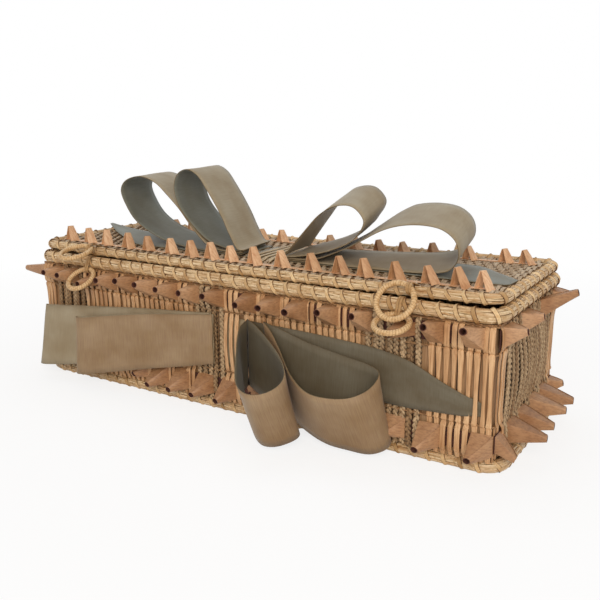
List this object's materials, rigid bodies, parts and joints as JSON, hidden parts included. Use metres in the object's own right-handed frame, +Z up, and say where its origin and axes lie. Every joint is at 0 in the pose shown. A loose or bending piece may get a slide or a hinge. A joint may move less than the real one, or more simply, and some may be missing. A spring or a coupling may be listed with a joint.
{
  "type": "lidded splint basket box",
  "caption": "Long shallow woven splint box with a hinged lid, rows of folded points, braided grass rims, closing rings and a ribbon bow on the lid and the front.",
  "frame": {"origin": "centre of the underside of the floor, on the surface the box stands on", "axes": "+X along the box's length, -Y towards its front with the closing rings, +Z up"},
  "size_m": [0.3477, 0.1686, 0.1365],
  "materials": {
    "ash_splint": "dry tan splint, aged",
    "brown_ash_points": "brown splint, aged",
    "wide_ash_splint": "wide splint seen in shade",
    "sweetgrass": "pale grass bundle, lashed",
    "braided_sweetgrass": "grey-brown braided grass",
    "olive_ribbon": "soft sheen, fine lengthwise grain",
    "splint_lashing": "pale thin splint wraps"
  },
  "bodies": {
    "box": {"floor_splints": "wide_ash_splint", "foot_rim": "sweetgrass", "front_wall_liner": "wide_ash_splint", "back_wall_liner": "wide_ash_splint", "left_wall_liner": "wide_ash_splint", "right_wall_liner": "wide_ash_splint", "front_splints": "ash_splint", "back_splints": "ash_splint", "left_splints": "ash_splint", "right_splints": "ash_splint", "front_left_braids": "braided_sweetgrass", "front_middle_braids": "braided_sweetgrass", "front_right_braids": "braided_sweetgrass", "back_left_braids": "braided_sweetgrass", "back_middle_braids": "braided_sweetgrass", "back_right_braids": "braided_sweetgrass", "left_braids": "braided_sweetgrass", "right_braids": "braided_sweetgrass", "upper_weavers": "ash_splint", "lower_weavers": "ash_splint", "front_upper_points": "brown_ash_points", "back_upper_points": "brown_ash_points", "left_upper_points": "brown_ash_points", "right_upper_points": "brown_ash_points", "front_lower_points": "brown_ash_points", "back_lower_points": "brown_ash_points", "left_lower_points": "brown_ash_points", "right_lower_points": "brown_ash_points", "body_rim": "sweetgrass", "body_ring_tie_left": "splint_lashing", "body_ring_tie_right": "splint_lashing", "hinge_ring_left": "sweetgrass", "hinge_ring_right": "sweetgrass", "front_knot_splints": "ash_splint", "front_bow_band": "olive_ribbon", "front_bow_long_loop": "olive_ribbon", "front_bow_short_loop": "olive_ribbon", "front_bow_small_loop": "olive_ribbon", "front_bow_large_loop": "olive_ribbon", "front_bow_tail": "olive_ribbon"},
    "lid": {"lid_panel": "wide_ash_splint", "lid_splints": "ash_splint", "lid_rim": "sweetgrass", "lid_front_points": "brown_ash_points", "lid_back_points": "brown_ash_points", "lid_ring_tie_left": "splint_lashing", "lid_ring_tie_right": "splint_lashing", "lid_knot_splints": "ash_splint", "lid_bow_band": "olive_ribbon", "lid_bow_loop_low_left": "olive_ribbon", "lid_bow_loop_high_left": "olive_ribbon", "lid_bow_loop_high_right": "olive_ribbon", "lid_bow_loop_low_right": "olive_ribbon", "lid_bow_tail_left": "olive_ribbon", "lid_bow_tail_right": "olive_ribbon"},
    "lid_ring_left": {"lid_ring_left": "sweetgrass"},
    "lid_ring_right": {"lid_ring_right": "sweetgrass"},
    "body_ring_left": {"body_ring_left": "sweetgrass"},
    "body_ring_right": {"body_ring_right": "sweetgrass"}
  },
  "joints": [
    {"name": "lid_hinge", "type": "hinge", "parent": "box", "child": "lid", "pos_m": [0, 0.05392, 0.08357], "axis": [-1, 0, 0], "range_deg": [0, 105]},
    {"name": "lid_ring_left_swing", "type": "hinge", "parent": "lid", "child": "lid_ring_left", "pos_m": [-0.10522, -0.05491, 0.08815], "axis": [-1, 0, 0], "range_deg": [0, 110]},
    {"name": "lid_ring_right_swing", "type": "hinge", "parent": "lid", "child": "lid_ring_right", "pos_m": [0.1098, -0.05491, 0.08822], "axis": [-1, 0, 0], "range_deg": [0, 125]},
    {"name": "body_ring_left_swing", "type": "hinge", "parent": "box", "child": "body_ring_left", "pos_m": [-0.10782, -0.05551, 0.07464], "axis": [-1, 0, 0], "range_deg": [0, 50]},
    {"name": "body_ring_right_swing", "type": "hinge", "parent": "box", "child": "body_ring_right", "pos_m": [0.10446, -0.05551, 0.07464], "axis": [-1, 0, 0], "range_deg": [-22, 8]}
  ]
}
